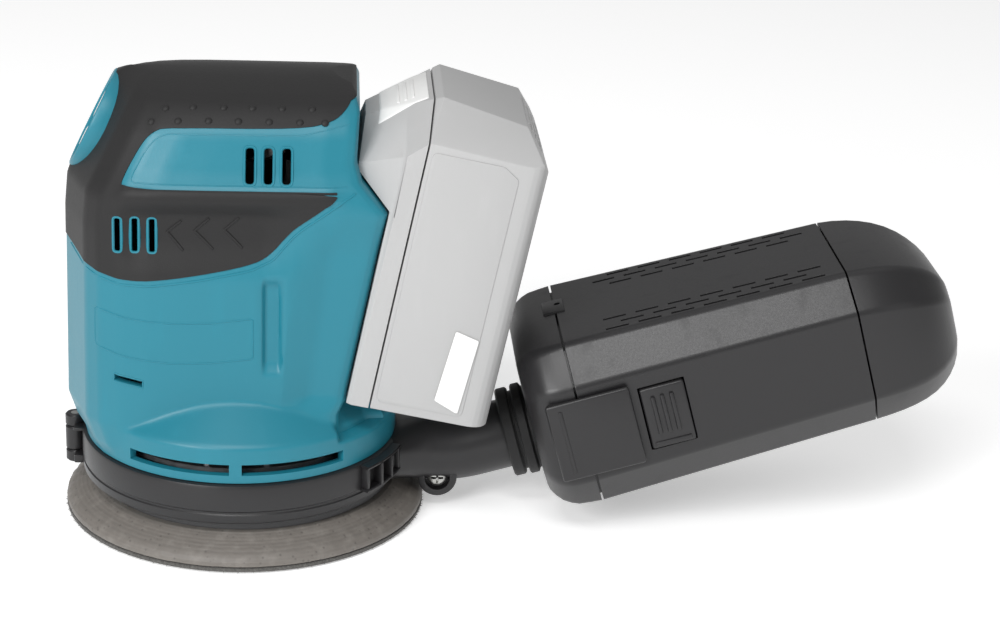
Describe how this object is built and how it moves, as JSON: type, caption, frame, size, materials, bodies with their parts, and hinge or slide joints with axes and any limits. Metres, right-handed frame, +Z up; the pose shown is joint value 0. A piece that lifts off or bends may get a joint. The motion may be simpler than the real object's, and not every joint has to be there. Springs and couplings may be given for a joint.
{
  "type": "orbital sander",
  "caption": "Cordless random-orbit sander with a round foam pad, soft palm grip, slide-on battery pack and a tilted dust box on a clamp-ring nozzle.",
  "frame": {"origin": "where the machine axis meets the working face of the pad", "axes": "+X to the rear, along battery and dust box; +Z up along the machine axis; the left side is -Y"},
  "size_m": [0.3064, 0.123, 0.153],
  "materials": {
    "teal_plastic": "satin moulded nylon",
    "grip_rubber": "soft overmoulded elastomer",
    "panel_film": "glossy panel film",
    "button_grey": "satin moulded plastic",
    "lamp_lens": "clear lens",
    "circuit_board": "coated board",
    "zinc_steel": "zinc plated",
    "black_screw": "black oxide",
    "inner_plastic": "glass-filled moulding",
    "bearing_steel": "ground steel",
    "magnet": "sintered",
    "carbon": "graphite",
    "copper": "bare copper alloy",
    "cast_aluminium": "die cast",
    "counterweight_iron": "machined",
    "black_plastic": "fine-grained moulding",
    "filter_cloth": "non-woven filter cloth",
    "battery_grey": "satin moulded plastic",
    "cell_can": "sleeved cell",
    "pad_foam": "closed-cell foam, scuffed",
    "hook_fabric": "hook tape",
    "backing_plastic": "fibre-filled plastic"
  },
  "bodies": {
    "housing": {"housing_left": "teal_plastic", "housing_right": "teal_plastic", "grip_overmold": "grip_rubber", "housing_screws": "zinc_steel", "panel_bezel": "teal_plastic", "panel_plate": "panel_film", "speed_lamps": "lamp_lens", "control_board": "circuit_board", "bearing_plate": "inner_plastic", "lower_bearing": "bearing_steel", "upper_bearing": "bearing_steel", "motor_can": "bearing_steel", "magnets": "magnet", "carbon_brushes": "carbon", "brush_holder": "inner_plastic", "fan_base": "teal_plastic", "pad_brake_ring": "grip_rubber", "nozzle_ring_left": "black_plastic", "nozzle_ring_right": "black_plastic", "ring_hinge_pin": "zinc_steel", "ring_clamp_screw": "black_screw", "ring_clamp_nut": "zinc_steel", "terminal_block": "inner_plastic", "tool_terminals": "copper"},
    "rotor": {"motor_shaft": "bearing_steel", "armature": "bearing_steel", "armature_windings": "copper", "commutator": "copper", "fan": "cast_aluminium", "eccentric_carrier": "cast_aluminium", "counterweight": "counterweight_iron", "pad_bearing": "bearing_steel"},
    "pad": {"pad_spindle": "bearing_steel", "backing_plate": "backing_plastic", "pad_foam": "pad_foam", "hook_layer": "hook_fabric", "pad_screws": "zinc_steel"},
    "power_button": {"power_button": "button_grey"},
    "speed_button": {"speed_button": "button_grey"},
    "battery": {"battery_case": "battery_grey", "battery_cover": "battery_grey", "battery_cells": "cell_can", "battery_board": "circuit_board", "battery_contacts": "copper", "release_spring": "bearing_steel"},
    "release_button": {"release_button": "button_grey"},
    "dust_cap": {"dust_cap": "black_plastic", "nozzle_collar": "grip_rubber"},
    "dust_box": {"dust_box_shell": "black_plastic", "dust_box_end": "black_plastic", "dust_filter": "filter_cloth"},
    "dust_latch_left": {"dust_latch_left": "black_plastic"},
    "dust_latch_right": {"dust_latch_right": "black_plastic"}
  },
  "joints": [
    {"name": "rotor_spin", "type": "hinge", "parent": "housing", "child": "rotor", "pos_m": [0, 0, 0.05], "axis": [0, 0, 1], "continuous": true},
    {"name": "pad_spin", "type": "hinge", "parent": "rotor", "child": "pad", "pos_m": [0.0014, 0, 0.015], "axis": [0, 0, 1], "continuous": true},
    {"name": "power_press", "type": "slide", "parent": "housing", "child": "power_button", "axis": [0.8949, 0, -0.4462], "range_m": [0, 0.0006], "stiffness_N_per_m": 800},
    {"name": "speed_press", "type": "slide", "parent": "housing", "child": "speed_button", "axis": [0.8949, 0, -0.4462], "range_m": [0, 0.0006], "stiffness_N_per_m": 800},
    {"name": "battery_slide", "type": "slide", "parent": "housing", "child": "battery", "axis": [0.1908, 0, 0.9816], "range_m": [0, 0.08]},
    {"name": "release_press", "type": "slide", "parent": "battery", "child": "release_button", "axis": [-0.1908, 0, -0.9816], "range_m": [0, 0.0038], "stiffness_N_per_m": 600, "deforming": ["release_spring"]},
    {"name": "dust_cap_slide", "type": "slide", "parent": "housing", "child": "dust_cap", "axis": [0.9603, 0, 0.279], "range_m": [0, 0.035]},
    {"name": "dust_box_slide", "type": "slide", "parent": "dust_cap", "child": "dust_box", "axis": [0.9603, 0, 0.279], "range_m": [0, 0.06]},
    {"name": "latch_left_press", "type": "slide", "parent": "dust_box", "child": "dust_latch_left", "axis": [0, 1, 0], "range_m": [0, 0.0024], "stiffness_N_per_m": 700},
    {"name": "latch_right_press", "type": "slide", "parent": "dust_box", "child": "dust_latch_right", "axis": [0, -1, 0], "range_m": [0, 0.0024], "stiffness_N_per_m": 700}
  ]
}
